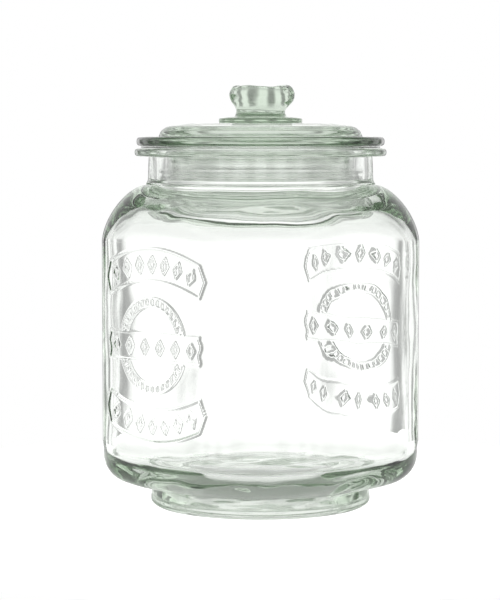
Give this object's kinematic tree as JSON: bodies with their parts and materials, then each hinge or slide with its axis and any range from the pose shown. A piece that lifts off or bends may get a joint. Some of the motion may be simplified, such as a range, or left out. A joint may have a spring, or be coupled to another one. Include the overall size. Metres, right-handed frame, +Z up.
{
  "type": "coin bank jar",
  "caption": "Tall thick glass counter jar for coins: rounded-square body on a round foot, short neck with a flat rim, and a lift-off domed glass lid with a knob and a clear seal ring.",
  "frame": {"origin": "on the jar's vertical axis, in the plane that the foot ring rests on", "axes": "+Z up along the jar's axis; the two faces with a raised badge look along -Y (front) and +Y (back)"},
  "size_m": [0.2166, 0.2184, 0.31],
  "materials": {
    "glass": "thick polished pressed and blown glass, pale green in its edges",
    "seal": "clear, slightly cloudy soft elastomer"
  },
  "bodies": {
    "jar": {"jar_body": "glass"},
    "seal": {"seal_ring": "seal"},
    "lid": {"lid": "glass", "lid_knob": "glass"}
  },
  "joints": [
    {"name": "lid_lift", "type": "slide", "parent": "jar", "child": "seal", "axis": [0, 0, 1], "range_m": [0, 0.12]},
    {"name": "lid_turn", "type": "hinge", "parent": "seal", "child": "lid", "pos_m": [0, 0, 0.264], "axis": [0, 0, 1], "continuous": true}
  ]
}
